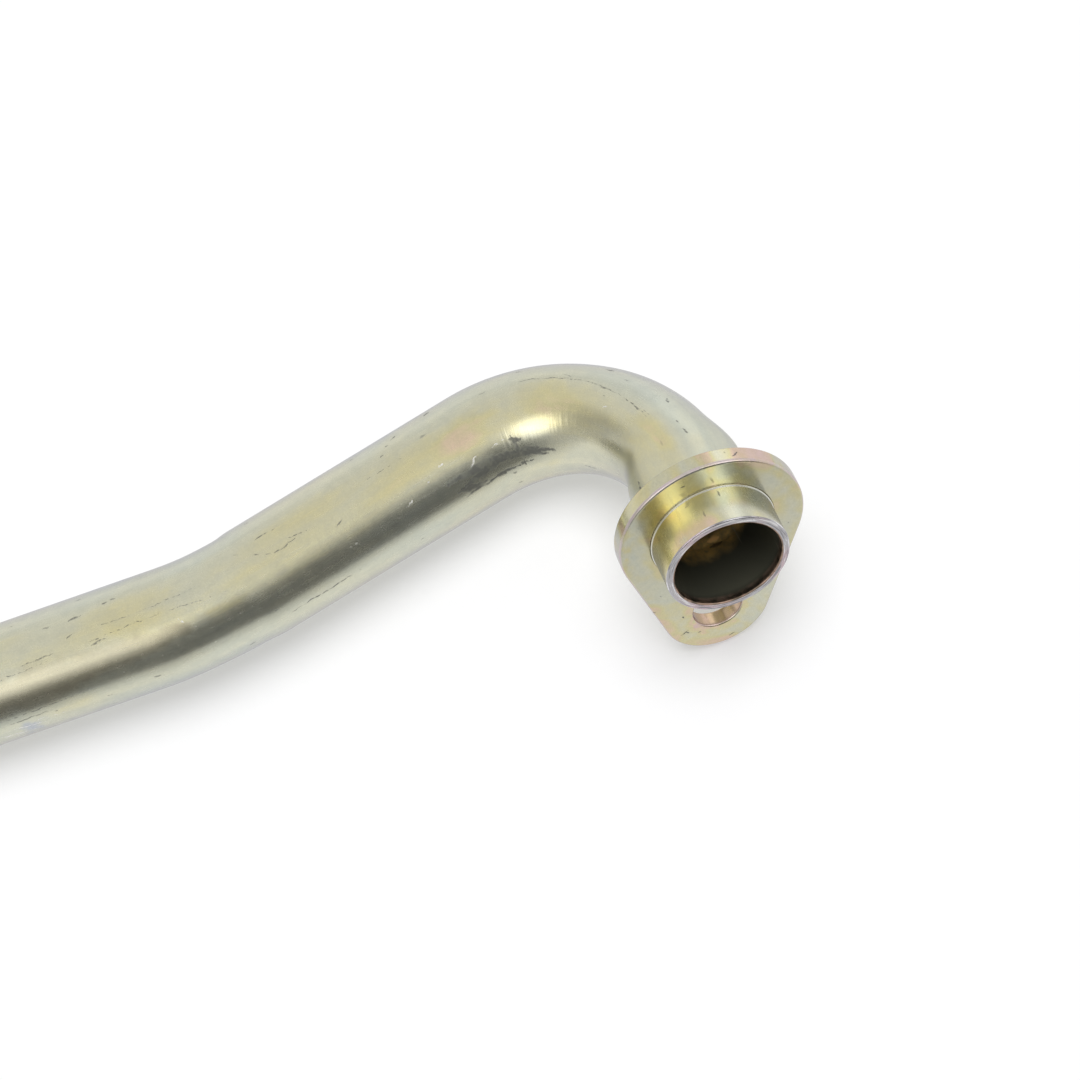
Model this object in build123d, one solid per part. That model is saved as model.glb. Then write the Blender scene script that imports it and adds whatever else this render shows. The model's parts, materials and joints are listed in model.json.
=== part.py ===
from build123d import *
from math import ceil, cos, radians, sin, sqrt
import os

os.makedirs("parts", exist_ok=True)

# A bent steel pipe with a one-bolt teardrop flange brazed on behind its widened end.
# It is drawn from the flange outwards, then turned so that it lies on a table:
# +Z is up, +X runs along the long straight towards the flange, and the origin is
# the middle of the footprint. All sizes are millimetres.

# Pipe: one round tube, sized a little wider at the end that plugs in. The flange sits
# on a seat that is a step wider again and shows as a fine line in front of the plate.
tube_diameter = 25.4
tube_wall = 1.75
spigot_diameter = 27.1
spigot_length = 9.6
seat_step = 0.2
seat_in_front_of_flange = 0.4
wide_end_behind_flange = 1.6
neck_length = 3.0
rim_chamfer = 0.35

# Flange: a pressed plate, a large disc and a small lobe joined by tangent sides.
flange_thickness = 4.0
flange_radius = 20.4
lobe_radius = 12.0
bolt_distance = 25.1
bolt_hole_diameter = 11.0
flange_front_rounding = 0.6
flange_back_rounding = 0.3
hole_chamfer = 0.5
flange_clearance = 0.05

# Braze: the ring of filler metal in the corner behind the flange.
braze_leg = 1.5

# Run of the pipe, in order from the back of the flange. Each bend lies in a plane
# turned about the pipe from the line between the spigot and the bolt hole.
leg_length = 12.1
tight_bend_radius = 34.0
tight_bend_angle = 97.2
tight_bend_turn_angle = 76.3
tight_bend_flattening_share = 0.125
middle_length = 56.2
slight_bend_radius = 107.0
slight_bend_angle = 13.2
slight_bend_turn_angle = -121.5
slight_bend_flattening_share = 0.03
far_length = 62.0

# A bend squeezes the tube across its plane and spreads it a quarter as much.
spread_share = 0.25
flattening_ramp_in_share = 0.15
flattening_ramp_out_share = 0.55
degrees_per_section = 6.0

# Rounds of turning the pipe until it lies still on three points.
settling_count = 40

tube_radius = tube_diameter / 2
spigot_radius = spigot_diameter / 2
seat_radius = spigot_radius + seat_step
seat_length = seat_in_front_of_flange + flange_thickness
wide_end_length = spigot_length + flange_thickness + wide_end_behind_flange
flange_bore_radius = seat_radius + flange_clearance


def smooth(share):
    share = min(max(share, 0.0), 1.0)
    return share * share * (3 - 2 * share)


def flattening_at(share, deepest):
    """How far the tube is squeezed at a share of the way round a bend."""
    ramp_in = smooth(share / flattening_ramp_in_share)
    ramp_out = smooth((1 - share) / flattening_ramp_out_share)
    return deepest * min(ramp_in, ramp_out)


def walked(here, length):
    """The place a straight length further along the pipe."""
    return Plane(here.origin + here.z_dir * length, x_dir=here.x_dir, z_dir=here.z_dir)


class Bend:
    """A bend from one place on the pipe, with the tube's sections along it."""

    def __init__(self, start, radius, angle, turn, flattening):
        self.start, self.radius, self.angle = start, radius, angle
        self.flattening = flattening
        self.inward = start.x_dir * cos(radians(turn)) + start.y_dir * sin(radians(turn))
        self.across = start.z_dir.cross(self.inward)
        self.centre = start.origin + self.inward * radius

    def section_plane(self, share):
        """Local X across the bend's plane, local Y away from its centre."""
        turned = radians(self.angle * share)
        outward = self.start.z_dir * sin(turned) - self.inward * cos(turned)
        along = self.start.z_dir * cos(turned) + self.inward * sin(turned)
        return Plane(self.centre + outward * self.radius, x_dir=self.across, z_dir=along)

    def half_widths(self, share):
        squeeze = flattening_at(share, self.flattening)
        return tube_radius * (1 + spread_share * squeeze), tube_radius * (1 - squeeze)

    def shares(self):
        count = ceil(self.angle / degrees_per_section)
        return [step / count for step in range(count + 1)]

    def end(self):
        hinge = Axis(self.centre, self.across)
        last = self.section_plane(1.0)
        carried = self.start.x_dir.rotate(hinge, self.angle)
        return Plane(last.origin, x_dir=carried, z_dir=last.z_dir)

    def solid(self, inset):
        sections = []
        for share in self.shares():
            wide, narrow = self.half_widths(share)
            sections.append(self.section_plane(share) * Ellipse(wide - inset, narrow - inset))
        return loft(sections)


# Places along the pipe, each looking the way the pipe runs away from the flange.
mouth = Plane((0, 0, spigot_length), x_dir=(1, 0, 0), z_dir=(0, 0, -1))
seat_start = walked(mouth, spigot_length - seat_in_front_of_flange)
flange_back = walked(mouth, spigot_length + flange_thickness)
neck_start = walked(mouth, wide_end_length)
neck_end = walked(neck_start, neck_length)
tight_bend = Bend(walked(flange_back, leg_length), tight_bend_radius, tight_bend_angle,
                  tight_bend_turn_angle, tight_bend_flattening_share)
middle_start = tight_bend.end()
slight_bend = Bend(walked(middle_start, middle_length), slight_bend_radius,
                   slight_bend_angle, slight_bend_turn_angle, slight_bend_flattening_share)
far_start = slight_bend.end()
far_end = walked(far_start, far_length)


def rod(start, length, radius):
    return extrude(start * Circle(radius), length)


def pipe_core(inset, overrun):
    """The space inside a surface that lies an inset below the pipe's outside."""
    wide, narrow = spigot_radius - inset, tube_radius - inset
    core = rod(walked(mouth, -overrun), wide_end_length + overrun, wide)
    core += loft([neck_start * Circle(wide), neck_end * Circle(narrow)])
    core += rod(neck_end, leg_length - wide_end_behind_flange - neck_length, narrow)
    core += tight_bend.solid(inset)
    core += rod(middle_start, middle_length, narrow)
    core += slight_bend.solid(inset)
    core += rod(far_start, far_length + overrun, narrow)
    return core


def make_pipe():
    outside = pipe_core(0, 0) + rod(seat_start, seat_length, seat_radius)
    pipe = outside - pipe_core(tube_wall, tube_wall)
    ends = pipe.edges().filter_by(GeomType.CIRCLE).filter_by_position(
        Axis.Z, spigot_length - rim_chamfer / 2, spigot_length + rim_chamfer / 2)
    return chamfer(ends, rim_chamfer)


def make_flange():
    outline = Sketch() + make_hull(
        Circle(flange_radius).edges() + (Pos(bolt_distance, 0) * Circle(lobe_radius)).edges())
    plate = extrude(outline, -flange_thickness)
    front = plate.faces().sort_by(Axis.Z)[-1]
    plate = fillet(front.edges(), flange_front_rounding)
    back = plate.faces().sort_by(Axis.Z)[0]
    plate = fillet(back.edges(), flange_back_rounding)
    plate -= extrude(Circle(flange_bore_radius), -flange_thickness)
    plate -= extrude(Pos(bolt_distance, 0) * Circle(bolt_hole_diameter / 2), -flange_thickness)
    hole = plate.edges().filter_by(GeomType.CIRCLE).filter_by(
        lambda edge: abs(edge.radius - bolt_hole_diameter / 2) < flange_clearance / 2
        and abs(edge.arc_center.X - bolt_distance) < flange_clearance)
    return chamfer(hole, hole_chamfer)


def make_braze():
    corner = (spigot_radius, -flange_thickness)
    outer = (spigot_radius + braze_leg, -flange_thickness)
    inner = (spigot_radius, -flange_thickness - braze_leg)
    hollow = braze_leg * (1 - 1 / sqrt(2))
    waist = (spigot_radius + hollow, -flange_thickness - hollow)
    profile = Line(corner, outer) + ThreePointArc(outer, waist, inner) + Line(inner, corner)
    return revolve(Plane.XZ * make_face(profile), Axis.Z)


def lowest_on_flange(up):
    """The rounded back edge of the lobe, where the flange stands on the table."""
    down = Vector(-up.X, -up.Y, 0).normalized()
    rounding_centre = Vector(bolt_distance, 0, flange_back_rounding - flange_thickness)
    rounding_centre += down * (lobe_radius - flange_back_rounding)
    return rounding_centre - up * flange_back_rounding


def lowest_on_tube(plane, wide, narrow, up):
    """The lowest point of an oval section of the tube."""
    along_wide, along_narrow = up.dot(plane.x_dir), up.dot(plane.y_dir)
    reach = sqrt((wide * along_wide) ** 2 + (narrow * along_narrow) ** 2)
    offset = plane.x_dir * (wide ** 2 * along_wide) + plane.y_dir * (narrow ** 2 * along_narrow)
    return plane.origin - offset / reach


def resting_up():
    """The upward direction when the lobe, the tight bend and the far end touch the table."""
    up = tight_bend.across
    for _ in range(settling_count):
        bend_points = [lowest_on_tube(tight_bend.section_plane(share),
                                      *tight_bend.half_widths(share), up)
                       for share in tight_bend.shares()]
        under_bend = min(bend_points, key=up.dot)
        under_end = lowest_on_tube(far_end, tube_radius, tube_radius, up)
        under_lobe = lowest_on_flange(up)
        normal = (under_bend - under_end).cross(under_lobe - under_end).normalized()
        up = normal if normal.dot(up) > 0 else normal * -1
    return up


parts = {"pipe": make_pipe(), "flange": make_flange(), "braze_fillet": make_braze()}

table_up = resting_up()
lengthwise = far_end.z_dir * -1
lengthwise = (lengthwise - table_up * lengthwise.dot(table_up)).normalized()
lying = Plane((0, 0, 0), x_dir=lengthwise, z_dir=table_up).location.inverse()
laid = {name: lying * shape for name, shape in parts.items()}
box = Compound(list(laid.values())).bounding_box()
footprint = Vector((box.min.X + box.max.X) / 2, (box.min.Y + box.max.Y) / 2, box.min.Z)

for name, shape in laid.items():
    shape = Pos(*(footprint * -1)) * shape
    export_step(shape, f"parts/{name}.step")
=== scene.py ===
import json
from collections import namedtuple
from math import cos, pi, radians, sin, sqrt

import bmesh
import bpy
import numpy as np
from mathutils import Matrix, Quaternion, Vector


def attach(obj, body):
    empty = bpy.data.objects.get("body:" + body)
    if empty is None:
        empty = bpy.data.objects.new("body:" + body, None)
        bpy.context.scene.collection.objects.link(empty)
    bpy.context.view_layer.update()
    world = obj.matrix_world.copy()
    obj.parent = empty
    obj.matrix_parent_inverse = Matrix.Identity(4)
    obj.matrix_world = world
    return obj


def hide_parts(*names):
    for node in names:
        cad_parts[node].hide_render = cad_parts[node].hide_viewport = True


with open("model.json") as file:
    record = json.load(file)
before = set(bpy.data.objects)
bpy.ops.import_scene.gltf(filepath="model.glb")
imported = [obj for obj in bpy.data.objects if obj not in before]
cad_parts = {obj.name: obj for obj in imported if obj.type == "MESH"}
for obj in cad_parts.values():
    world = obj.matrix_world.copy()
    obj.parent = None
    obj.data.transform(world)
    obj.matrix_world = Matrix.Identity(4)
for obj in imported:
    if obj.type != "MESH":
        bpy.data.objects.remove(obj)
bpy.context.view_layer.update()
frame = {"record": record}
scene = bpy.context.scene

# Sizes in millimetres and degrees, as in the solid model.
TUBE_RADIUS = 12.7
WALL = 1.75
SPIGOT_RADIUS = 13.55
SPIGOT_LENGTH = 9.6
SEAT_STEP = 0.2
SEAT_IN_FRONT = 0.4
WIDE_BEHIND = 1.6
NECK = 3.0
RIM_ROUNDING = 0.35
FLANGE_THICKNESS = 4.0
FLANGE_RADIUS = 20.4
LOBE_RADIUS = 12.0
BOLT_DISTANCE = 25.1
BOLT_RADIUS = 5.5
FRONT_ROUNDING = 0.6
BACK_ROUNDING = 0.3
HOLE_CHAMFER = 0.5
FLANGE_GAP = 0.05
BRAZE_LEG = 1.5
LEG = 12.1
TIGHT = dict(radius=34.0, angle=97.2, turn=76.3, squeeze=0.125)
MIDDLE = 56.2
SLIGHT = dict(radius=107.0, angle=13.2, turn=-121.5, squeeze=0.03)
FAR = 62.0
SPREAD = 0.25
RAMP_IN = 0.15
RAMP_OUT = 0.55
SEAT_RADIUS = SPIGOT_RADIUS + SEAT_STEP
SEAT_START = SPIGOT_LENGTH - SEAT_IN_FRONT
BORE_RADIUS = SPIGOT_RADIUS - WALL
PLATE_BACK = SPIGOT_LENGTH + FLANGE_THICKNESS
WIDE_END = PLATE_BACK + WIDE_BEHIND

# Small roundings that the solid model leaves out, in millimetres.
SEAT_ROUNDING = 0.06
CUT_ROUNDING = 0.15
PLATE_BORE_ROUNDING = 0.08

# The braze's leg is a little uneven: its mean share of BRAZE_LEG, and waves round it, each
# with its count, its height as a share and its start.
BRAZE_LEG_SHARE = 0.94
BRAZE_WAVES = [(3, 0.05, 0.6), (7, 0.035, 2.0), (17, 0.02, 0.0)]

# Fineness of the meshes: points round a loop, steps round an edge, millimetres between loops.
AROUND = 192
HOLE_AROUND = 128
DISC_POINTS = 221
LOBE_POINTS = 121
RIM_STEPS = 6
CUT_STEPS = 4
PLATE_EDGE_STEPS = 8
PLATE_WALL_LOOPS = 8
HOLE_WALL_LOOPS = 5
BRAZE_STEPS = 14
FIRST_LOOP = 1.0
SHORT_STEP = 0.8
NECK_STEP = 0.25
TIGHT_STEP = 0.7
SLIGHT_STEP = 1.4
STRAIGHT_STEP = 2.5
# How far from a corner the loops lie that keep its shading narrow.
SEAT_MARGIN = 0.15
OUTLINE_MARGIN = 0.15
PLATE_BORE_MARGIN = 0.1
HOLE_MARGIN = 0.12


def unit(vector):
    return vector / np.linalg.norm(vector)


def smooth(x):
    """0 up to 0, 1 from 1, and a smooth change between."""
    x = min(max(x, 0.0), 1.0)
    return x * x * (3 - 2 * x)


def turned(vector, axis, angle):
    """A vector turned about a unit axis by an angle in radians."""
    along_axis = axis * (axis @ vector) * (1 - cos(angle))
    return vector * cos(angle) + np.cross(axis, vector) * sin(angle) + along_axis


# The flange's own frame, from the mounts: +Z out of the spigot, +X towards the bolt hole,
# and the origin in the middle of the plate's front face.
mounts = {mount["name"]: mount for mount in frame["record"]["mounts"]}
out = unit(np.array(mounts["spigot"]["axis"]))
spigot_middle = (SPIGOT_LENGTH - RIM_ROUNDING + SEAT_IN_FRONT) / 2
face_centre = np.array(mounts["spigot"]["pos_m"]) * 1000 - out * spigot_middle
to_bolt = np.array(mounts["bolt_hole"]["pos_m"]) * 1000 - face_centre
to_bolt = unit(to_bolt - out * (to_bolt @ out))
FLANGE_AXES = np.column_stack([to_bolt, np.cross(out, to_bolt), out])


def to_row(points):
    """Points in the flange's frame, in millimetres, as points in the row frame, in metres."""
    return (np.asarray(points) @ FLANGE_AXES.T + face_centre) / 1000


# A section of the pipe: the middle, the way it runs, the mark that angles are counted from,
# the length up to there, the direction across the bend's plane and the share of squeeze.
Station = namedtuple("Station", "place along mark length across squeeze")


class Run:
    """The pipe's centre line, walked from the mouth to the far end."""

    def __init__(self):
        self.place = np.array([0.0, 0.0, SPIGOT_LENGTH])
        self.along = np.array([0.0, 0.0, -1.0])
        self.mark = np.array([1.0, 0.0, 0.0])
        self.length = 0.0
        self.stations = []

    def straight(self, length, step):
        """A straight stretch, with its stations about a step apart."""
        count = max(1, int(round(length / step)))
        first = 1 if self.length else 0
        for i in range(first, count + 1):
            walked = length * i / count
            self.stations.append(Station(
                self.place + self.along * walked, self.along, self.mark, self.length + walked,
                across=self.mark, squeeze=0.0))
        self.place = self.place + self.along * length
        self.length += length

    def bend(self, radius, angle, turn, squeeze, step):
        """A bend in a plane that is turned about the pipe from its mark, in degrees."""
        side = np.cross(self.along, self.mark)
        inward = self.mark * cos(radians(turn)) + side * sin(radians(turn))
        across = np.cross(self.along, inward)
        centre = self.place + inward * radius
        sweep = radians(angle)
        count = int(round(radius * sweep / step))
        for i in range(1, count + 1):
            share = i / count
            outward = turned(-inward, across, sweep * share)
            squeezed = squeeze * min(smooth(share / RAMP_IN), smooth((1 - share) / RAMP_OUT))
            self.stations.append(Station(
                centre + outward * radius, turned(self.along, across, sweep * share),
                turned(self.mark, across, sweep * share), self.length + radius * sweep * share,
                across, squeezed))
        last = self.stations[-1]
        self.place, self.along, self.mark, self.length = last[:4]

    def taken(self):
        """The stations walked since the last call."""
        found, self.stations = self.stations, []
        return found


def ring(station, radius, shift=0.0):
    """A loop of points round a station, and the same loop on the straightened pipe.

    The radius is the one before a bend's squeeze. The shift moves the loop along the pipe.
    """
    side = np.cross(station.along, station.mark)
    angles = np.arange(AROUND) * 2 * pi / AROUND
    ray = np.cos(angles)[:, None] * station.mark + np.sin(angles)[:, None] * side
    reach = np.full(AROUND, radius)
    if station.squeeze:
        outward = np.cross(station.along, station.across)
        inset = TUBE_RADIUS - radius
        wide = TUBE_RADIUS * (1 + SPREAD * station.squeeze) - inset
        narrow = TUBE_RADIUS * (1 - station.squeeze) - inset
        reach = 1 / np.sqrt(((ray @ station.across) / wide) ** 2 + ((ray @ outward) / narrow) ** 2)
    points = station.place + station.along * shift + ray * reach[:, None]
    straightened = np.column_stack([np.full(AROUND, station.length + shift),
                                    np.cos(angles) * radius, np.sin(angles) * radius])
    return points, straightened / 1000


def mesh_piece(name, points, faces, node, own_places):
    """A smooth-shaded mesh in the row frame that stands for its CAD node.

    Its points keep their own places, in metres, for the materials to be laid out by.
    """
    mesh = bpy.data.meshes.new(name)
    mesh.from_pydata([tuple(point) for point in to_row(points)], [],
                     [tuple(face) for face in faces])
    shell = bmesh.new()
    shell.from_mesh(mesh)
    bmesh.ops.recalc_face_normals(shell, faces=shell.faces)
    shell.to_mesh(mesh)
    shell.free()
    mesh.polygons.foreach_set("use_smooth", [True] * len(mesh.polygons))
    laid_out = mesh.attributes.new("own_place", "FLOAT_VECTOR", "POINT")
    laid_out.data.foreach_set("vector", np.asarray(own_places, np.float32).ravel())
    piece = bpy.data.objects.new(name, mesh)
    scene.collection.objects.link(piece)
    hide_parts(node)
    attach(piece, "root")
    return piece


def lofted(loops):
    """Points, quads and own places of a band of loops, the last one joined to the first."""
    points = np.vstack([loop for loop, _ in loops])
    own_places = np.vstack([own for _, own in loops])
    faces = []
    for i in range(len(loops)):
        here, there = i * AROUND, (i + 1) % len(loops) * AROUND
        for j in range(AROUND):
            k = (j + 1) % AROUND
            faces.append((here + j, here + k, there + k, there + j))
    return points, faces, own_places


def mouth_edge(mouth, radius, side):
    """The mouth's rounded edge from its face to a wall: side is 1 outside and -1 in the bore."""
    loops = []
    for turn in np.linspace(pi / 2, 0, RIM_STEPS + 1):
        loops.append(ring(mouth, radius - side * RIM_ROUNDING * (1 - cos(turn)),
                          RIM_ROUNDING * (1 - sin(turn))))
    return loops


def seat_profile():
    """The seat's small step in the outside of the pipe: places along, each with a radius."""
    return [
        (SEAT_START - SEAT_MARGIN, SPIGOT_RADIUS),
        (SEAT_START - SEAT_ROUNDING, SPIGOT_RADIUS),
        (SEAT_START, SPIGOT_RADIUS + SEAT_ROUNDING),
        (SEAT_START, SEAT_RADIUS - SEAT_ROUNDING),
        (SEAT_START + SEAT_ROUNDING, SEAT_RADIUS),
        (SEAT_START + 2 * SEAT_MARGIN, SEAT_RADIUS),
        (PLATE_BACK - SEAT_ROUNDING, SEAT_RADIUS),
        (PLATE_BACK, SEAT_RADIUS - SEAT_ROUNDING),
        (PLATE_BACK, SPIGOT_RADIUS + SEAT_ROUNDING / 2),
        (PLATE_BACK + SEAT_ROUNDING, SPIGOT_RADIUS),
    ]


def build_pipe():
    """One closed skin: along the outside to the far end, and back through the bore."""
    run = Run()
    run.straight(WIDE_END, step=WIDE_END)
    mouth = run.taken()[0]
    run.straight(NECK, NECK_STEP)
    neck = run.taken()
    run.straight(LEG - WIDE_BEHIND - NECK, SHORT_STEP)
    run.bend(step=TIGHT_STEP, **TIGHT)
    run.straight(MIDDLE, STRAIGHT_STEP)
    run.bend(step=SLIGHT_STEP, **SLIGHT)
    run.straight(FAR, STRAIGHT_STEP)
    rest = run.taken()

    outside = mouth_edge(mouth, SPIGOT_RADIUS, side=1)
    for along in np.arange(FIRST_LOOP, SEAT_START - 2 * SEAT_MARGIN, SHORT_STEP):
        outside.append(ring(mouth, SPIGOT_RADIUS, along))
    for along, radius in seat_profile():
        outside.append(ring(mouth, radius, along))
    inside = mouth_edge(mouth, BORE_RADIUS, side=-1)
    for along in np.arange(FIRST_LOOP, WIDE_END, SHORT_STEP):
        inside.append(ring(mouth, BORE_RADIUS, along))
    for i, station in enumerate(neck):
        narrowing = smooth(i / (len(neck) - 1)) * (SPIGOT_RADIUS - TUBE_RADIUS)
        outside.append(ring(station, SPIGOT_RADIUS - narrowing))
        inside.append(ring(station, BORE_RADIUS - narrowing))
    for station in rest[1:-1]:
        outside.append(ring(station, TUBE_RADIUS))
        inside.append(ring(station, TUBE_RADIUS - WALL))
    for turn in np.linspace(0, pi / 2, CUT_STEPS + 1):
        inset = CUT_ROUNDING * (1 - cos(turn))
        shift = CUT_ROUNDING * (sin(turn) - 1)
        outside.append(ring(rest[-1], TUBE_RADIUS - inset, shift))
        inside.append(ring(rest[-1], TUBE_RADIUS - WALL + inset, shift))

    points, faces, own_places = lofted(outside + inside[::-1])
    piece = mesh_piece("pipe_surface", points, faces, "pipe", own_places)
    # The bore's faces wear the second material.
    for i in range(len(outside) * AROUND, (len(outside) + len(inside) - 1) * AROUND):
        piece.data.polygons[i].material_index = 1
    return piece


def circle(x, radius, z, count):
    """Points of a circle in the flange's frame, round a middle on its X axis."""
    angles = np.arange(count) * 2 * pi / count
    return np.column_stack([x + radius * np.cos(angles), radius * np.sin(angles),
                            np.full(count, z)])


def outline_loops(quarter, back):
    """The plate's outer wall with its rounded edges, from the front face to the back."""
    tangent = np.arccos((FLANGE_RADIUS - LOBE_RADIUS) / BOLT_DISTANCE)
    disc = np.linspace(tangent, 2 * pi - tangent, DISC_POINTS)
    lobe = np.linspace(-tangent, tangent, LOBE_POINTS)
    middle = np.repeat([0.0, BOLT_DISTANCE], [DISC_POINTS, LOBE_POINTS])
    radius = np.repeat([FLANGE_RADIUS, LOBE_RADIUS], [DISC_POINTS, LOBE_POINTS])
    angle = np.concatenate([disc, lobe])

    def outline(inset, z):
        return np.column_stack([middle + (radius - inset) * np.cos(angle),
                                (radius - inset) * np.sin(angle), np.full(len(angle), z)])

    wall = np.linspace(-FRONT_ROUNDING, back + BACK_ROUNDING, PLATE_WALL_LOOPS)[1:-1]
    loops = [outline(FRONT_ROUNDING + OUTLINE_MARGIN, 0.0)]
    loops += [outline(FRONT_ROUNDING * (1 - sin(turn)), FRONT_ROUNDING * (cos(turn) - 1))
              for turn in quarter]
    loops += [outline(0.0, z) for z in wall]
    loops += [outline(BACK_ROUNDING * (1 - cos(turn)), back + BACK_ROUNDING * (1 - sin(turn)))
              for turn in quarter]
    return loops + [outline(BACK_ROUNDING + OUTLINE_MARGIN, back)]


def bore_loops(back):
    """The wall of the plate's bore for the pipe."""
    bore = SEAT_RADIUS + FLANGE_GAP
    profile = [(bore + PLATE_BORE_ROUNDING + PLATE_BORE_MARGIN, 0.0),
               (bore + PLATE_BORE_ROUNDING, 0.0), (bore, -PLATE_BORE_ROUNDING)]
    profile += [(radius, back - z) for radius, z in reversed(profile)]
    return [circle(0.0, radius, z, AROUND) for radius, z in profile]


def hole_loops(quarter, back):
    """The bolt hole's wall with a rounded lip on both faces."""
    lip_and_reflection = BOLT_RADIUS + HOLE_CHAMFER + HOLE_MARGIN
    wall = np.linspace(-HOLE_CHAMFER, back + HOLE_CHAMFER, HOLE_WALL_LOOPS)[1:-1]
    profile = [(lip_and_reflection, 0.0)]
    profile += [(BOLT_RADIUS + HOLE_CHAMFER * (1 - sin(turn)), HOLE_CHAMFER * (cos(turn) - 1))
                for turn in quarter]
    profile += [(BOLT_RADIUS, z) for z in wall]
    profile += [(BOLT_RADIUS + HOLE_CHAMFER * (1 - cos(turn)),
                 back + HOLE_CHAMFER * (1 - sin(turn))) for turn in quarter]
    profile += [(lip_and_reflection, back)]
    return [circle(BOLT_DISTANCE, radius, z, HOLE_AROUND) for radius, z in profile]


def build_flange():
    """The plate: three walls of loops, with the flat faces filled in between their ends."""
    back = -FLANGE_THICKNESS
    quarter = np.linspace(0, pi / 2, PLATE_EDGE_STEPS + 1)
    plate = bmesh.new()
    fronts, backs = [], []
    for loops in (outline_loops(quarter, back), bore_loops(back), hole_loops(quarter, back)):
        rows = [[plate.verts.new(tuple(point)) for point in loop] for loop in loops]
        for here, there in zip(rows, rows[1:]):
            for j in range(len(here)):
                k = (j + 1) % len(here)
                plate.faces.new((here[j], here[k], there[k], there[j]))
        fronts.append(rows[0])
        backs.append(rows[-1])
    for rows in (fronts, backs):
        edges = [plate.edges.get((row[j], row[(j + 1) % len(row)]))
                 for row in rows for j in range(len(row))]
        bmesh.ops.triangle_fill(plate, use_beauty=True, use_dissolve=False, edges=edges)
    plate.verts.index_update()
    points = np.array([tuple(vertex.co) for vertex in plate.verts])
    faces = [[vertex.index for vertex in face.verts] for face in plate.faces]
    plate.free()
    return mesh_piece("flange_surface", points, faces, "flange", points / 1000)


def build_braze():
    """The concave ring of filler behind the plate, a little uneven as melted metal is."""
    angles = np.arange(AROUND) * 2 * pi / AROUND
    waves = sum(height * np.sin(count * angles + start) for count, height, start in BRAZE_WAVES)
    leg = BRAZE_LEG * (BRAZE_LEG_SHARE + waves)
    loops = []
    for turn in np.linspace(0, pi / 2, BRAZE_STEPS + 1):
        radius = SPIGOT_RADIUS + leg * (1 - sin(turn))
        z = -FLANGE_THICKNESS - leg * (1 - cos(turn))
        loops.append(np.column_stack([radius * np.cos(angles), radius * np.sin(angles), z]))
    loops.append(circle(0.0, SPIGOT_RADIUS, -FLANGE_THICKNESS, AROUND))
    points, faces, own_places = lofted([(loop, loop / 1000) for loop in loops])
    return mesh_piece("braze_surface", points, faces, "braze_fillet", own_places)


# The share of a mark's reach within which its mask is full.
SPOT_CORE = 0.15
STROKE_CORE = 0.35
FLECK_CORE = 0.4
# The share by which a stroke is narrower at its ends than in its middle.
STROKE_TAPER = 0.7
# Stains are drawn out along the pipe, where lengths count for this share.
STAIN_SHARE = 0.5


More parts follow.
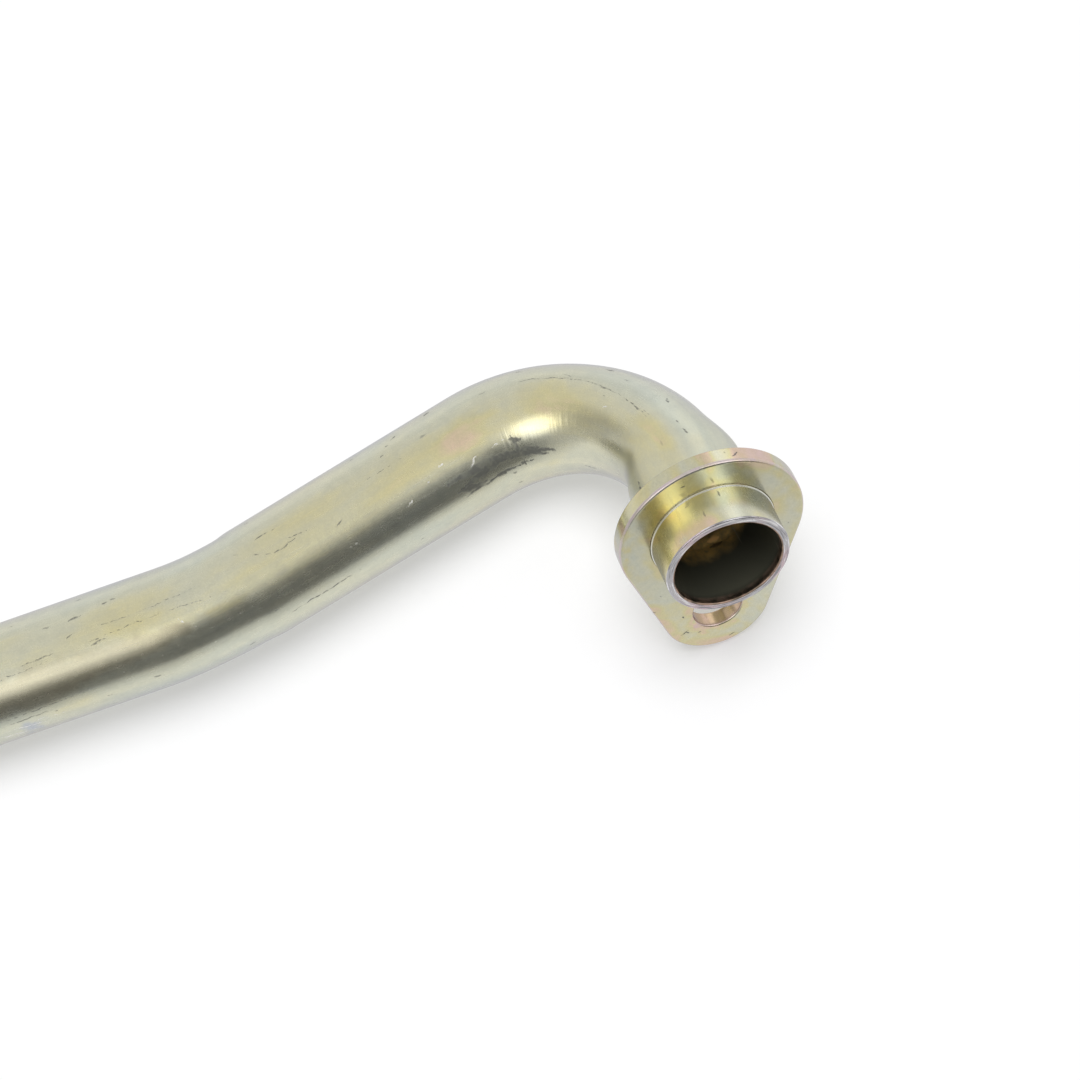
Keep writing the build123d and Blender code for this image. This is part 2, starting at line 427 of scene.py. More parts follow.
class Nodes:
    """Short ways to write shader nodes. Inputs are sockets, numbers, vectors or colours."""

    def __init__(self, tree):
        self.tree = tree
        self.tree.nodes.clear()

    def node(self, kind, **settings):
        made = self.tree.nodes.new(kind)
        for name, value in settings.items():
            setattr(made, name, value)
        return made

    def feed(self, socket, value):
        if isinstance(value, bpy.types.NodeSocket):
            self.tree.links.new(value, socket)
        elif socket.type == "RGBA":
            socket.default_value = (*value, 1)
        elif value is not None:
            socket.default_value = value

    def math(self, operation, a, b=None, c=None):
        made = self.node("ShaderNodeMath", operation=operation)
        for socket, value in zip(made.inputs, (a, b, c)):
            self.feed(socket, value)
        return made.outputs[0]

    def times(self, a, b):
        return self.math("MULTIPLY", a, b)

    def total(self, start, *shares):
        """start, and each source times its amount added to it."""
        for source, amount in shares:
            start = self.math("MULTIPLY_ADD", source, amount, start)
        return start

    def limited(self, value):
        """The value kept between 0 and 1."""
        return self.math("MINIMUM", self.math("MAXIMUM", value, 0.0), 1.0)

    def largest(self, *masks):
        found = masks[0]
        for mask in masks[1:]:
            found = self.math("MAXIMUM", found, mask)
        return found

    def vector(self, operation, a, b=None, c=None, scale=None):
        made = self.node("ShaderNodeVectorMath", operation=operation)
        for socket, value in zip(made.inputs, (a, b, c, scale)):
            self.feed(socket, value)
        scalar = operation in ("DOT_PRODUCT", "LENGTH", "DISTANCE")
        return made.outputs["Value" if scalar else "Vector"]

    def joined(self, x, y=None):
        made = self.node("ShaderNodeCombineXYZ")
        self.feed(made.inputs[0], x)
        self.feed(made.inputs[1], y)
        return made.outputs[0]

    def split(self, vector):
        made = self.node("ShaderNodeSeparateXYZ")
        self.feed(made.inputs[0], vector)
        return made.outputs

    def noise(self, at, scale, detail=2.0, roughness=0.5, distortion=0.0, colour=False):
        """Noise with one scale, or with one for each axis, per metre."""
        if isinstance(scale, tuple):
            at, scale = self.vector("MULTIPLY", at, scale), 1.0
        made = self.node("ShaderNodeTexNoise")
        for name, value in (("Vector", at), ("Scale", scale), ("Detail", detail),
                            ("Roughness", roughness), ("Distortion", distortion)):
            self.feed(made.inputs[name], value)
        return made.outputs["Color" if colour else 0]

    def fade(self, value, start, end, low=0.0, high=1.0):
        """low up to start, high from end, and a smooth change between.

        The smooth step stays within low and high without the node's own clamp, which would
        hold one more value on the shader's short stack.
        """
        made = self.node("ShaderNodeMapRange", interpolation_type="SMOOTHSTEP", clamp=False)
        for socket, number in zip(made.inputs, (value, start, end, low, high)):
            self.feed(socket, number)
        return made.outputs[0]

    def near(self, at, place, reach):
        """1 at a place in metres, fading to 0 at a reach in millimetres from it."""
        distance = self.vector("DISTANCE", at, place)
        return self.fade(distance, reach / 1000, reach / 1000 * SPOT_CORE)

    def mix(self, factor, a, b, blend="MIX"):
        made = self.node("ShaderNodeMix", data_type="RGBA", blend_type=blend)
        self.feed(made.inputs["Factor"], factor)
        self.feed(made.inputs[6], a)
        self.feed(made.inputs[7], b)
        return made.outputs[2]

    def ramp(self, value, stops):
        made = self.node("ShaderNodeValToRGB")
        elements = made.color_ramp.elements
        while len(elements) < len(stops):
            elements.new(0.5)
        for element, (place, colour) in zip(elements, stops):
            element.position = place
            element.color = (*colour, 1)
        self.feed(made.inputs[0], value)
        return made.outputs[0]

    def own_place(self):
        """The point on the straightened pipe, or in the flange's own frame, in metres."""
        return self.node("ShaderNodeAttribute", attribute_name="own_place").outputs["Vector"]


def new_material(name):
    """A material and the writer of its nodes."""
    made = bpy.data.materials.new(name)
    made.use_nodes = True
    return made, Nodes(made.node_tree)


def stroke_group():
    """A node group: 1 in the core of a stroke between two points, fading to 0 at its edge."""
    group = bpy.data.node_groups.new("stroke", "ShaderNodeTree")
    for name, kind in (("Point", "Vector"), ("From", "Vector"), ("Along", "Vector"),
                       ("Share", "Float"), ("Width", "Float")):
        group.interface.new_socket(name, in_out="INPUT", socket_type="NodeSocket" + kind)
    group.interface.new_socket("Mask", in_out="OUTPUT", socket_type="NodeSocketFloat")
    build = Nodes(group)
    given = build.node("NodeGroupInput").outputs
    offset = build.vector("SUBTRACT", given["Point"], given["From"])
    reached = build.times(build.vector("DOT_PRODUCT", offset, given["Along"]), given["Share"])
    reached = build.limited(reached)
    nearest = build.vector("SCALE", given["Along"], scale=reached)
    distance = build.vector("LENGTH", build.vector("SUBTRACT", offset, nearest))
    from_middle = build.total(-STROKE_TAPER, (reached, 2 * STROKE_TAPER))
    tapering = build.math("SUBTRACT", 1.0, build.math("ABSOLUTE", from_middle))
    width = build.times(given["Width"], tapering)
    mask = build.fade(build.math("DIVIDE", distance, width), 1.0, STROKE_CORE)
    build.feed(build.node("NodeGroupOutput").inputs[0], mask)
    return group


STROKE = stroke_group()


def on_tube(length, degrees, radius=TUBE_RADIUS):
    """A place on the straightened pipe, in metres, from millimetres along and degrees round."""
    angle = radians(degrees)
    return Vector((length, radius * cos(angle), radius * sin(angle))) / 1000


def on_bore(length, degrees):
    return on_tube(length, degrees, BORE_RADIUS)


def on_flange(x, y, z):
    return Vector((x, y, z)) / 1000


def stroke(build, at, start, end, width):
    """A mask for one thin mark between two places, its width in millimetres."""
    along = end - start
    made = build.node("ShaderNodeGroup", node_tree=STROKE)
    for name, value in (("Point", at), ("From", start), ("Along", along),
                        ("Share", 1 / along.length_squared), ("Width", width / 1000)):
        build.feed(made.inputs[name], value)
    return made.outputs[0]


def strokes(build, at, marks, place=on_tube):
    """The largest mask of a list of marks, each joined on as soon as it is made."""
    found = 0.0
    for start, end, width in marks:
        mask = stroke(build, at, place(*start), place(*end), width)
        found = build.math("MAXIMUM", found, mask)
    return found


def jittered(build, at, scale, amount):
    """The point moved about by noise, in millimetres, so that a mark's outline is ragged."""
    noise = build.noise(at, scale, colour=True)
    wander = build.vector("SUBTRACT", noise, (0.5, 0.5, 0.5))
    return build.vector("ADD", at, build.vector("SCALE", wander, scale=amount / 1000))


def flecks(build, at, scales, share, size):
    """Small dark nicks in a share of the cells of a stretched grid."""
    cells = build.node("ShaderNodeTexVoronoi")
    build.feed(cells.inputs["Vector"], build.vector("MULTIPLY", at, scales))
    build.feed(cells.inputs["Scale"], 1.0)
    pick = build.node("ShaderNodeSeparateColor")
    build.feed(pick.inputs[0], cells.outputs["Color"])
    chosen = build.math("GREATER_THAN", pick.outputs[0], 1 - share)
    fleck = build.fade(cells.outputs["Distance"], size, size * FLECK_CORE)
    return build.times(fleck, chosen)


# Colours are linear red, green and blue. The film on passivated zinc runs from grey-green
# through straw, gold and peach to lilac.
MINT = (0.600, 0.628, 0.545)
STRAW = (0.655, 0.642, 0.490)
GOLD = (0.678, 0.625, 0.370)
PEACH = (0.735, 0.575, 0.430)
PINK = (0.700, 0.530, 0.520)
LILAC = (0.600, 0.560, 0.620)
FILM = [(0.0, MINT), (0.30, STRAW), (0.50, GOLD), (0.66, PEACH), (0.80, PINK), (0.92, LILAC),
        (1.0, MINT)]
# The metal's tint where it is seen at a glancing angle.
GLANCING_TINT = (0.73, 0.72, 0.81)
SOOT = (0.105, 0.107, 0.112)
BARE = (0.86, 0.85, 0.82)
SPIGOT_GOLD = (0.72, 0.62, 0.24)
# Tan film, darkened as a painted reflection of the dark band's soft edge.
TAN_REFLECTION_COLOUR = (0.46, 0.415, 0.29)
BLUE_FILM = (0.42, 0.46, 0.56)
# The colour of a painted highlight along the seat's fine line.
SEAT_HIGHLIGHT = (0.86, 0.85, 0.76)
RIM_GREY = (0.54, 0.53, 0.54)
RIM_PINK = (0.62, 0.50, 0.52)
RIM_DARK = (0.32, 0.31, 0.32)
RIM_BRIGHT = (0.84, 0.83, 0.83)
BORE_BROWN = (0.096, 0.094, 0.068)
BORE_DEEP = (0.060, 0.062, 0.046)
# Copper film on the lip, lighter as a painted reflection.
BORE_LIP_REFLECTION = (0.52, 0.36, 0.27)
BORE_LINE = (0.34, 0.30, 0.22)
# Painted light: the amber glow on the bore's wall.
AMBER_LIGHT = (0.72, 0.47, 0.15)
# A painted highlight: the bright middle of the amber glow.
AMBER_HIGHLIGHT = (1.0, 0.60, 0.21)
# Painted shade: the dark line within the amber highlight.
AMBER_SHADE = (0.14, 0.09, 0.04)
PLATE_EDGE_PINK = (0.70, 0.57, 0.62)
HOLE_COPPER = (0.72, 0.50, 0.42)
HOLE_BROWN = (0.56, 0.41, 0.25)
PAPER = (0.982, 0.984, 1.0)

# Angles round the pipe, in degrees: where the film is most straw and the spigot most gold,
# and the upper and lower sides where nicks gather.
STRAW_ANGLE = 140
GOLD_ANGLE = 128
UPPER_NICKS = 184
LOWER_NICKS = 72

# Marks on the pipe, each placed where the photo shows it: (mm along, degrees round) to
# (mm along, degrees round), width in mm.
# The scuffs make up the dark smear on the tight bend.
SCUFFS = [
    ((72.0, 102.0), (93.0, 109.0), 2.0), ((61.5, 95.5), (82.0, 104.0), 1.3),
    ((72.0, 86.0), (73.4, 121.0), 1.5), ((70.5, 115.0), (74.5, 117.5), 0.9),
    ((64.0, 92.0), (72.0, 101.0), 0.9), ((66.0, 101.0), (73.0, 103.0), 1.4),
    ((69.0, 88.5), (90.0, 87.0), 0.6), ((86.5, 91.0), (92.0, 95.0), 1.3),
    ((85.0, 90.0), (90.5, 86.0), 0.8), ((76.0, 104.0), (91.0, 97.0), 1.5),
]
# Thin scratches and the larger nicks.
SCRATCHES = [
    ((34.8, 163.3), (44.0, 166.0), 0.26), ((43.0, 165.8), (54.0, 170.5), 0.26),
    ((52.0, 170.0), (70.0, 175.0), 0.22), ((60.0, 178.0), (46.0, 157.0), 0.16),
    ((35.6, -169.5), (36.8, -166.5), 0.5), ((26.0, -174.0), (28.0, -176.0), 0.35),
    ((126.6, 141.7), (132.9, 138.3), 0.30), ((132.5, 138.0), (140.4, 160.0), 0.26),
    ((129.0, 163.3), (136.6, 162.7), 0.3), ((124.0, 142.0), (129.0, 146.5), 0.2),
    ((117.9, 76.7), (136.0, 76.0), 0.34), ((160.0, 139.5), (173.0, 137.5), 0.2),
    ((172.5, 134.0), (176.5, 132.0), 0.42), ((173.5, 136.0), (176.0, 136.5), 0.3),
    ((184.0, 137.0), (191.5, 135.0), 0.32), ((176.5, 167.0), (179.5, 164.5), 0.5),
    ((178.9, 149.5), (180.6, 147.0), 0.3), ((170.3, 173.0), (172.0, 170.5), 0.4),
    ((101.0, 172.6), (102.4, 170.0), 0.45), ((116.2, 133.5), (118.2, 130.0), 0.34),
    ((88.3, -164.0), (90.0, -166.5), 0.5), ((97.0, -172.0), (98.6, -174.5), 0.4),
    ((50.0, -163.0), (52.0, -165.0), 0.4), ((29.5, -176.0), (30.6, -178.0), 0.35),
    ((150.0, 150.0), (164.0, 148.5), 0.14), ((95.0, 156.0), (112.0, 154.0), 0.13),
    ((49.0, 67.0), (54.0, 70.0), 0.3), ((20.5, 116.0), (23.5, 119.0), 0.6),
    ((41.0, 164.0), (34.0, 167.5), 0.2), ((7.4, 158.0), (1.6, 165.0), 0.2),
    ((206.0, 91.5), (186.0, 92.5), 0.22), ((206.0, 85.5), (178.0, 90.0), 0.18),
    ((203.0, 79.0), (188.0, 82.0), 0.2), ((161.0, 141.0), (144.0, 131.0), 0.12),
    ((176.0, 151.0), (164.0, 146.0), 0.14), ((203.0, 128.0), (186.0, 131.0), 0.16),
    ((8.7, 152.0), (8.2, 166.0), 0.34), ((8.6, 179.0), (7.6, -176.0), 0.4),
    ((6.8, -174.5), (6.2, -171.0), 0.4),
]
# Dark streaks along the spigot.
SPIGOT_STREAKS = [
    ((9.2, 156.0), (0.8, 162.0), 1.0), ((9.0, 154.0), (7.6, 160.0), 1.7),
    ((9.4, 114.0), (5.0, 115.0), 1.4),
]
# Nicks that shine, where the film is scraped off.
GLINTS = [
    ((144.6, 86.0), (144.8, 112.0), 0.16), ((84.6, 118.5), (87.4, 110.5), 0.42),
    ((91.0, 129.0), (93.5, 126.5), 0.3), ((76.0, 120.5), (80.0, 117.5), 0.24),
    ((45.0, 152.0), (46.8, 149.0), 0.24), ((115.4, 104.0), (118.0, 106.5), 0.36),
    ((201.0, 72.0), (190.0, 66.0), 0.3), ((204.0, 64.5), (194.0, 59.0), 0.3),
    ((198.0, 76.0), (186.0, 71.0), 0.2), ((156.0, 122.0), (156.4, 127.0), 0.4),
    ((95.5, 121.0), (97.5, 119.5), 0.2), ((101.0, 113.0), (103.0, 111.0), 0.2),
]
# A tan streak along the far straight: brown film, darkened as a painted reflection of the dark
# band's soft edge.
TAN_AND_REFLECTION = [((156.0, 117.0), (226.0, 106.0), 6.5)]
# Stains on the pipe: mm along, degrees round, reach in mm, and how far each shifts the film.
STAINS = [
    (84.0, 141.0, 6.0, 0.20), (160.0, 121.0, 6.0, 0.10), (33.8, 160.0, 3.0, 0.12),
    (27.4, 164.0, 2.2, 0.12), (24.0, -169.0, 3.0, 0.14), (146.0, 116.0, 3.0, 0.12),
    (184.5, 77.0, 4.5, 0.16), (62.0, 150.0, 8.0, 0.06), (100.0, 138.0, 9.0, 0.06),
    (125.0, 152.0, 9.0, 0.06), (170.0, 150.0, 9.0, 0.08), (2.4, 140.0, 3.0, 0.16),
]
# The blue stain near the cut end: mm along, degrees round, reach in mm.
BLUE_STAIN = (194.8, 66.0, 4.2)
# Painted light inside the spigot, on the wall nearest the bolt: amber spots like the blue stain,
# and marks for a painted highlight in its middle and a dark line of painted shade in that.
AMBER_LIT_SPOTS = [(15.0, 22.0, 4.2), (15.6, 2.0, 5.2), (16.4, -22.0, 5.0), (17.4, -46.0, 3.8)]
AMBER_HIGHLIGHT_MARKS = [((16.8, -4.0), (16.8, -19.0), 1.2)]
AMBER_SHADE_MARKS = [((15.3, -5.0), (15.4, -18.0), 0.8)]
# Marks on the flange: one place in its own frame, in mm, to another, and width.
FLANGE_MARKS = [
    ((-19.6, 6.0, -1.2), (-19.2, 7.3, -2.9), 0.4),
    ((20.0, -14.2, -0.3), (20.4, -14.0, -0.3), 0.6), ((29.6, -7.6, 0.0), (30.8, -6.2, 0.0), 0.35),
    ((30.4, -8.6, 0.0), (29.4, -6.9, 0.0), 0.25), ((31.4, -5.0, 0.0), (30.9, -3.9, 0.0), 0.25),
    ((-16.4, -6.0, 0.0), (-16.7, -5.0, 0.0), 0.3), ((24.3, -8.1, 0.0), (24.9, -7.7, 0.0), 0.35),
    ((34.8, 3.4, 0.0), (35.6, 2.2, 0.0), 0.2),
]


def metal(build, colour, roughness, height, metallic=1.0):
    """A plated metal surface with its relief in millimetres."""
    shader = build.node("ShaderNodeBsdfPrincipled")
    bump = build.node("ShaderNodeBump")
    build.feed(bump.inputs["Strength"], 1.0)
    build.feed(bump.inputs["Distance"], 0.001)
    build.feed(bump.inputs["Height"], height)
    for name, value in (("Base Color", colour), ("Roughness", roughness),
                        ("Metallic", metallic), ("Specular Tint", GLANCING_TINT),
                        ("Normal", bump.outputs[0])):
        build.feed(shader.inputs[name], value)
    build.feed(build.node("ShaderNodeOutputMaterial").inputs[0], shader.outputs[0])


def facing(build, around, degrees):
    """How squarely a point faces an angle round the pipe: 1 there, 0 a quarter turn away."""
    angle = radians(degrees)
    return build.vector("DOT_PRODUCT", around, (0, cos(angle), sin(angle)))


def rim_colour(build, at, around, bands):
    """The cut face of the mouth: grey to pink, with dark and bright turning marks."""
    outward = build.vector("LENGTH", build.vector("MULTIPLY", at, (0, 1, 1)))
    outward = build.joined(build.times(outward, 2400.0))
    rings = build.noise(build.vector("MULTIPLY_ADD", around, (2.6, 2.6, 2.6), outward), 1.0)
    colour = build.mix(build.fade(bands, 0.38, 0.62), RIM_GREY, RIM_PINK)
    colour = build.mix(build.fade(rings, 0.48, 0.36), colour, RIM_DARK)
    return build.mix(build.fade(rings, 0.56, 0.64), colour, RIM_BRIGHT)


def pipe_darks(build, at, around, mottle, broken):
    """Scuffs, scratches and fine nicks on the pipe, and dark streaks along the spigot, as one mask.
    """
    scuffs = strokes(build, jittered(build, at, scale=620.0, amount=1.6), SCUFFS)
    scuffs = build.times(scuffs, build.total(0.40, (build.fade(mottle, 0.34, 0.56), 0.38)))
    scratches = strokes(build, jittered(build, at, scale=520.0, amount=1.1), SCRATCHES)
    scratches = build.times(scratches, build.total(0.14, (broken, 0.55)))
    barely_moved = jittered(build, at, scale=900.0, amount=0.7)
    nicks = flecks(build, barely_moved, (260, 900, 900), share=0.05, size=0.28)
    upper = build.fade(facing(build, around, UPPER_NICKS), 0.86, 0.98)
    lower = build.fade(facing(build, around, LOWER_NICKS), 0.92, 0.99)
    where = build.largest(upper, lower, 0.10)
    nicks = build.times(nicks, build.times(where, 0.50))
    spigot_streaks = build.times(strokes(build, jittered(build, at, scale=500.0, amount=1.2), SPIGOT_STREAKS), 0.38)
    return build.largest(scuffs, scratches, nicks, spigot_streaks)


def pipe_material():
    made, build = new_material("pipe_plating")
    at = build.own_place()
    along = build.times(build.split(at)[0], 1000.0)
    around = build.vector("NORMALIZE", build.vector("MULTIPLY", at, (0, 1, 1)))

    # Lengthwise tones from drawing the tube, fine grain, clouds of the film, and crosswise
    # wrinkles in the tight bend.
    grain = build.noise(at, (70, 1300, 1300), detail=3.0, roughness=0.65)
    streaks = build.noise(at, (16, 260, 260), detail=3.0, roughness=0.55)
    bands = build.noise(at, (9, 95, 95), detail=1.0)
    clouds = build.noise(at, (26, 55, 55), detail=3.0, roughness=0.6, distortion=0.7)
    mottle = build.noise(at, 330.0, detail=3.0, roughness=0.65)
    sparkle = build.noise(at, 2600.0, roughness=0.6)
    in_bend = build.times(build.fade(along, 24, 36), build.fade(along, 104, 70))
    wrinkles = build.noise(at, (1150, 130, 130))

    # The film's colour: a phase that runs through the colours of FILM.
    straw_side = facing(build, around, STRAW_ANGLE)
    phase = build.total(-0.42, (build.fade(straw_side, 0.80, 0.985), 0.16), (clouds, 0.62),
                        (streaks, 0.30), (mottle, 0.12), (bands, 0.14))
    drawn_out = build.vector("MULTIPLY", at, (STAIN_SHARE, 1, 1))
    drawn_out = jittered(build, drawn_out, scale=260.0, amount=5.0)
    for length, degrees, reach, shift in STAINS:
        spot = build.near(drawn_out, on_tube(length * STAIN_SHARE, degrees), reach)
        phase = build.total(phase, (spot, shift))
    near_mouth = build.fade(along, 4.6, 1.0)
    phase = build.total(phase, (near_mouth, build.fade(bands, 0.35, 0.6, 0.14, 0.32)))
    on_spigot = build.fade(along, SPIGOT_LENGTH + 0.6, SPIGOT_LENGTH)
    phase = build.total(phase, (on_spigot, build.fade(straw_side, 0.70, 0.94, -0.10, 0.18)))
    colour = build.ramp(phase, FILM)
    gold_side = facing(build, around, GOLD_ANGLE)
    gold = build.times(on_spigot, build.fade(gold_side, 0.70, 0.95, 0.0, 0.55))
    colour = build.mix(gold, colour, SPIGOT_GOLD)
    # Tan film along the far straight, darker as a painted reflection of the dark band's soft edge.
    tan_and_reflection = strokes(build, jittered(build, at, scale=200.0, amount=4.0), TAN_AND_REFLECTION)
    colour = build.mix(build.times(tan_and_reflection, 0.65), colour, TAN_REFLECTION_COLOUR)
    tone = build.total(0.66, (streaks, 0.26), (mottle, 0.20), (sparkle, 0.18))
    colour = build.mix(1.0, colour, tone, blend="MULTIPLY")
    length, degrees, reach = BLUE_STAIN
    ragged = jittered(build, at, scale=300.0, amount=6.0)
    blue = build.near(ragged, on_tube(length, degrees), reach)
    colour = build.mix(build.times(blue, 0.6), colour, BLUE_FILM)

    # The cut rim, and a painted highlight along the seat's fine line in front of the plate.
    rim = build.fade(along, RIM_ROUNDING + 0.07, RIM_ROUNDING - 0.05)
    colour = build.mix(rim, colour, rim_colour(build, at, around, bands))
    # Painted highlight: a bright line on the seat's step.
    seat_highlight = build.times(build.fade(along, SEAT_START - 0.10, SEAT_START - 0.02),
                       build.fade(along, SEAT_START + 1.3, SEAT_START + 0.8))
    colour = build.mix(build.times(seat_highlight, 0.8), colour, SEAT_HIGHLIGHT)

    # Marks.
    broken = build.fade(build.noise(at, 1500.0), 0.34, 0.56)
    dark = pipe_darks(build, at, around, mottle, broken)
    colour = build.mix(dark, colour, SOOT)
    glints = strokes(build, jittered(build, at, scale=700.0, amount=1.4), GLINTS)
    glints = build.times(glints, build.total(0.25, (broken, 0.7)))
    colour = build.mix(glints, colour, BARE)

    by_flange = build.times(build.fade(along, 12, 18), build.fade(along, 42, 27))
    rough = build.total(0.15, (grain, 0.12), (mottle, 0.09), (dark, 0.32), (glints, 0.40),
                        (by_flange, 0.13))
    waves = build.noise(at, (45, 90, 90), detail=1.0)
    height = build.total(0.0, (waves, 0.05), (streaks, 0.016), (mottle, 0.009), (grain, 0.0045),
                         (sparkle, 0.0008), (build.times(wrinkles, in_bend), 0.030))
    metal(build, colour, rough, height)
    return made


def bore_material():
    """Inside, a thick brown film with pale lines along the bore, a copper lip lightened as painted
    reflection, and an amber pool of painted light with a painted highlight and shade.
    """
    made, build = new_material("bore_film_and_painted_light")
    at = build.own_place()
    along = build.times(build.split(at)[0], 1000.0)
    clouds = build.noise(at, 60.0)
    mottle = build.noise(at, 420.0, detail=3.0, roughness=0.6)
    lines = build.noise(at, (40, 900, 900))
    colour = build.mix(clouds, BORE_BROWN, BORE_DEEP)

    # Painted light: an amber pool on the bore's wall.
    wandering = jittered(build, at, scale=420.0, amount=1.4)
    spots = [build.near(wandering, on_bore(length, degrees), reach)
             for length, degrees, reach in AMBER_LIT_SPOTS]
    amber_light = build.times(build.largest(*spots), build.fade(mottle, 0.30, 0.62, 0.45, 1.0))
    colour = build.mix(amber_light, colour, AMBER_LIGHT)
    barely = jittered(build, at, scale=900.0, amount=0.5)
    # Painted shade: a dark line in the middle of the amber highlight.
    pupil_shade = strokes(build, barely, AMBER_SHADE_MARKS, place=on_bore)
    colour = build.mix(build.times(pupil_shade, 0.8), colour, AMBER_SHADE)
    # Painted highlight: the bright amber eye, which is not metallic.
    eye_highlight = strokes(build, barely, AMBER_HIGHLIGHT_MARKS, place=on_bore)
    colour = build.mix(eye_highlight, colour, AMBER_HIGHLIGHT)

    # Copper film on the lip near the mouth, lighter as a painted reflection.
    lip_and_reflection = build.times(build.fade(along, 2.2, 0.6), build.fade(mottle, 0.36, 0.60, 0.25, 0.9))
    colour = build.mix(lip_and_reflection, colour, BORE_LIP_REFLECTION)
    colour = build.mix(build.fade(lines, 0.68, 0.76), colour, BORE_LINE)
    rough = build.total(0.30, (mottle, 0.18))
    height = build.total(0.0, (mottle, 0.012), (lines, 0.006))
    metallic = build.fade(along, 0.6, 3.0, 1.0, 0.3)
    metallic = build.times(metallic, build.math("SUBTRACT", 1.0, eye_highlight))
    metal(build, colour, rough, height, metallic)
    return made


def outline_depth(build, x, y):
    """Millimetres in from the plate's outline, which is the hull of a row of circles."""
    lean = (FLANGE_RADIUS - LOBE_RADIUS) / BOLT_DISTANCE
    slope = lean / sqrt(1 - lean * lean)
    share = build.math("MULTIPLY_ADD", build.math("ABSOLUTE", y), -slope, x)
    share = build.limited(build.math("DIVIDE", share, BOLT_DISTANCE))
    from_row = build.joined(build.math("MULTIPLY_ADD", share, -BOLT_DISTANCE, x), y)
    radius = build.total(FLANGE_RADIUS, (share, LOBE_RADIUS - FLANGE_RADIUS))
    return build.math("SUBTRACT", radius, build.vector("LENGTH", from_row))


def flange_material():
    made, build = new_material("flange_plating")
    at = build.own_place()
    x, y, z = build.split(build.vector("SCALE", at, scale=1000.0))
    in_plane = build.joined(x, y)
    from_spigot = build.vector("LENGTH", in_plane)
    from_hole = build.vector("DISTANCE", in_plane, (BOLT_DISTANCE, 0, 0))
    depth = outline_depth(build, x, y)
    flat = build.vector("MULTIPLY", at, (1, 1, 0.6))
    clouds = build.noise(flat, 80.0, roughness=0.55, distortion=1.2)
    patches = build.noise(flat, 230.0, detail=3.0, roughness=0.6, distortion=0.8)
    mottle = build.noise(at, 700.0, detail=3.0, roughness=0.65)
    sparkle = build.noise(at, 2600.0)

    by_spigot = build.fade(from_spigot, SEAT_RADIUS + 3.75, SEAT_RADIUS + 0.65)
    by_hole = build.fade(from_hole, BOLT_RADIUS + 3.5, BOLT_RADIUS + 1.3)
    by_hole = build.times(by_hole, build.fade(patches, 0.36, 0.60, 0.3, 1.0))
    by_edge = build.times(build.fade(depth, 3.4, 1.0), build.fade(clouds, 0.32, 0.58))
    on_side = build.fade(z, -0.4, -0.9)
    phase = build.total(-0.32, (clouds, 1.00), (patches, 0.18), (mottle, 0.08),
                        (by_spigot, 0.12), (by_hole, 0.26), (by_edge, 0.18), (on_side, 0.10))
    colour = build.ramp(phase, FILM)
    front_edge = build.times(build.fade(z, -0.03, -0.2), build.fade(z, -0.9, -0.55))
    front_edge = build.times(front_edge, build.fade(patches, 0.34, 0.60, 0.30, 0.75))
    colour = build.mix(front_edge, colour, PLATE_EDGE_PINK)
    hole_wall = build.fade(from_hole, BOLT_RADIUS + 0.8, BOLT_RADIUS + 0.2)
    hole_wall = build.times(hole_wall, build.fade(z, 0.0, -0.7))
    copper = build.mix(build.fade(patches, 0.40, 0.60), HOLE_COPPER, HOLE_BROWN)
    colour = build.mix(build.times(hole_wall, 0.85), colour, copper)
    tone = build.total(0.72, (mottle, 0.20), (sparkle, 0.16))
    colour = build.mix(1.0, colour, tone, blend="MULTIPLY")

    marked_at = jittered(build, at, scale=700.0, amount=0.9)
    marks = build.times(strokes(build, marked_at, FLANGE_MARKS, place=on_flange), 0.8)
    nicks = flecks(build, marked_at, (900, 900, 900), share=0.03, size=0.26)
    nicks = build.times(nicks, 0.45)
    dark = build.largest(marks, nicks)
    colour = build.mix(dark, colour, SOOT)

    rough = build.total(0.13, (mottle, 0.16), (by_spigot, -0.06), (front_edge, 0.22), (dark, 0.3))
    height = build.total(0.0, (build.noise(flat, 130.0, detail=1.0), 0.05), (patches, 0.02),
                         (mottle, 0.006), (sparkle, 0.0008))
    metal(build, colour, rough, height)
    return made


def braze_material():
    made, build = new_material("braze_plating")
    at = build.own_place()
    mottle = build.noise(at, 600.0, detail=3.0, roughness=0.6)
    ripples = build.noise(at, 1500.0)
    film = build.ramp(build.total(-0.05, (mottle, 0.9)), FILM)
    colour = build.mix(1.0, film, build.total(0.70, (ripples, 0.4)), blend="MULTIPLY")
    rough = build.total(0.26, (mottle, 0.2))
    height = build.total(0.0, (mottle, 0.05), (ripples, 0.012))
    metal(build, colour, rough, height)
    return made


# The floor, in metres. Shares of it glow, one for the camera and one for what mirrors it, so
# that it shows white. Its mirror image is dimmer at the front, up to FRONT_END.
FLOOR_REACH = 8.0
GLOW_SEEN = 0.33
GLOW_MIRRORED = 0.70
FRONT_END = -0.13
BACK_START = -0.02
FRONT_LEVEL = 0.58

# What the metal mirrors of the room: cones, each with its direction as an azimuth and a
# height, the angles about it where the cone starts and where it is full, and its level.
ROOM_LEVEL = 0.85
DARK_SIDE = ((169, 20), 56, 19, 0.165)
DIM_GAP = ((-82, 36), 30, 10, 0.80)
LAMPS = [((30, 12), 15, 5, 0.55), ((-133, 50), 23, 9, 1.6), ((116, 48), 23, 9, 1.6)]
GREY_SIDE = (-106, 0)
GREY_DEPTH = 0.32
# The room's level for all other light.
PLAIN_LEVEL = 0.42

SUN_STRENGTH = 2.0
SUN_ANGLE = 40
SUN_DIRECTION = (20, 78)

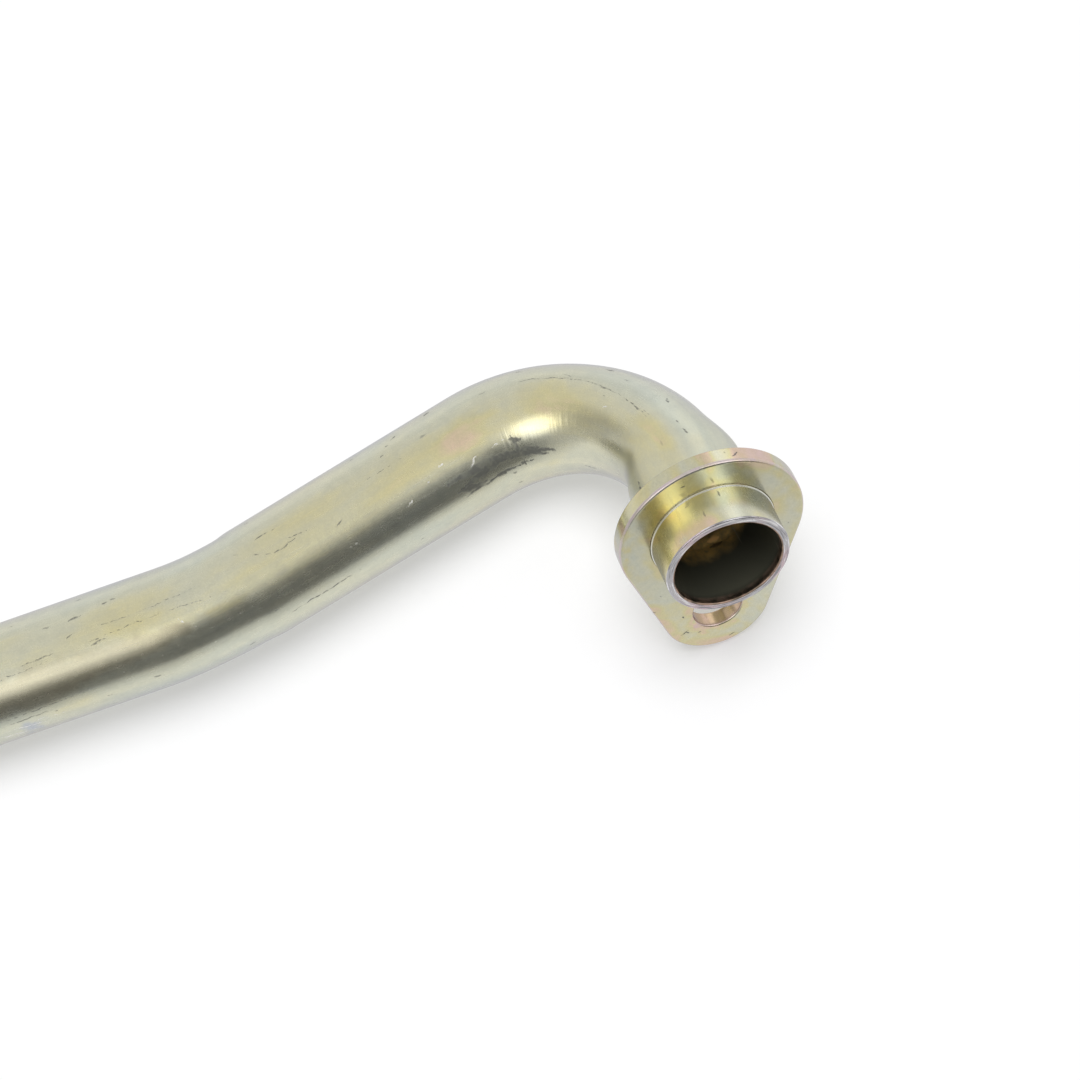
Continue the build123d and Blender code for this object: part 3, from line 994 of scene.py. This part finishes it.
CAMERA_PLACE = (0.0699032, -0.1826892, 0.6777960)
CAMERA_TURN = (0.97797172, 0.12696429, 0.03844865, -0.16116167)
CAMERA_LENS = 106.063
CAMERA_SENSOR = 36.0


def towards(azimuth, elevation):
    """The direction at an azimuth from +Y towards +X and a height above the table, in degrees."""
    azimuth = radians(azimuth)
    elevation = radians(elevation)
    return (sin(azimuth) * cos(elevation), cos(azimuth) * cos(elevation), sin(elevation))


def make_floor():
    """White paper."""
    mesh = bpy.data.meshes.new("floor")
    corners = [(-1, -1), (1, -1), (1, 1), (-1, 1)]
    mesh.from_pydata([(x * FLOOR_REACH, y * FLOOR_REACH, 0) for x, y in corners], [],
                     [(0, 1, 2, 3)])
    floor = bpy.data.objects.new("floor", mesh)
    scene.collection.objects.link(floor)
    paper, build = new_material("white_paper")
    rays = build.node("ShaderNodeLightPath").outputs
    white = build.node("ShaderNodeBsdfDiffuse")
    build.feed(white.inputs["Color"], PAPER)
    mirrored = build.math("MAXIMUM", rays["Is Glossy Ray"], rays["Is Transmission Ray"])
    seen = build.total(0.0, (rays["Is Camera Ray"], GLOW_SEEN), (mirrored, GLOW_MIRRORED))
    y = build.split(build.node("ShaderNodeNewGeometry").outputs["Position"])[1]
    dimmed = build.fade(y, FRONT_END, BACK_START, FRONT_LEVEL, 1.0)
    glow = build.node("ShaderNodeEmission")
    build.feed(glow.inputs["Strength"], build.math("MAXIMUM", rays["Is Camera Ray"], dimmed))
    blend = build.node("ShaderNodeMixShader")
    for socket, value in zip(blend.inputs, (seen, white.outputs[0], glow.outputs[0])):
        build.feed(socket, value)
    build.feed(build.node("ShaderNodeOutputMaterial").inputs[0], blend.outputs[0])
    mesh.materials.append(paper)
    paper.cycles.emission_sampling = "NONE"


def make_room():
    """White to the camera. The metal mirrors a dark side, a grey one and three soft lamps."""
    world = bpy.data.worlds.new("studio")
    scene.world = world
    world.cycles.sampling_method = "NONE"
    world.use_nodes = True
    build = Nodes(world.node_tree)
    rays = build.node("ShaderNodeLightPath").outputs
    direction = build.node("ShaderNodeTexCoord").outputs["Generated"]

    def cone(middle, start, full, level, outside):
        """A level inside a cone about a direction, and another outside it."""
        aim = build.vector("DOT_PRODUCT", direction, towards(*middle))
        return build.fade(aim, cos(radians(start)), cos(radians(full)), outside, level)

    height = build.vector("DOT_PRODUCT", direction, (0, 0, 1))
    grey = build.fade(build.vector("DOT_PRODUCT", direction, towards(*GREY_SIDE)), 0.55, 0.80)
    grey = build.times(grey, build.fade(height, 0.82, 0.45))
    level = build.times(cone(*DARK_SIDE, outside=ROOM_LEVEL), build.total(1.0, (grey, -GREY_DEPTH)))
    level = build.times(level, cone(*DIM_GAP, outside=1.0))
    for lamp in LAMPS:
        level = build.math("ADD", level, cone(*lamp, outside=0.0))
    level = build.times(level, rays["Is Glossy Ray"])
    shown = build.math("MAXIMUM", rays["Is Camera Ray"], rays["Is Glossy Ray"])
    plain = build.math("SUBTRACT", 1.0, shown)
    level = build.math("ADD", build.total(level, (plain, PLAIN_LEVEL)), rays["Is Camera Ray"])
    background = build.node("ShaderNodeBackground")
    build.feed(background.inputs["Color"], (1.0, 1.0, 1.0))
    build.feed(background.inputs["Strength"], level)
    build.feed(build.node("ShaderNodeOutputWorld").inputs[0], background.outputs[0])


def make_sun():
    """The soft key light from above."""
    sun = bpy.data.lights.new("key", "SUN")
    sun.energy = SUN_STRENGTH
    sun.angle = radians(SUN_ANGLE)
    key = bpy.data.objects.new("key", sun)
    key.rotation_euler = (-Vector(towards(*SUN_DIRECTION))).to_track_quat("-Z", "Y").to_euler()
    key.visible_glossy = False
    scene.collection.objects.link(key)


def make_camera():
    optics = bpy.data.cameras.new("camera")
    optics.sensor_width = CAMERA_SENSOR
    optics.lens = CAMERA_LENS
    camera = bpy.data.objects.new("camera", optics)
    camera.location = CAMERA_PLACE
    camera.rotation_mode = "QUATERNION"
    camera.rotation_quaternion = Quaternion(CAMERA_TURN)
    scene.collection.objects.link(camera)
    scene.camera = camera


pipe = build_pipe()
flange = build_flange()
braze = build_braze()
for piece, material in ((pipe, pipe_material), (pipe, bore_material), (flange, flange_material),
                        (braze, braze_material)):
    piece.data.materials.append(material())
make_floor()
make_room()
make_sun()
make_camera()
scene.view_settings.view_transform = "Standard"
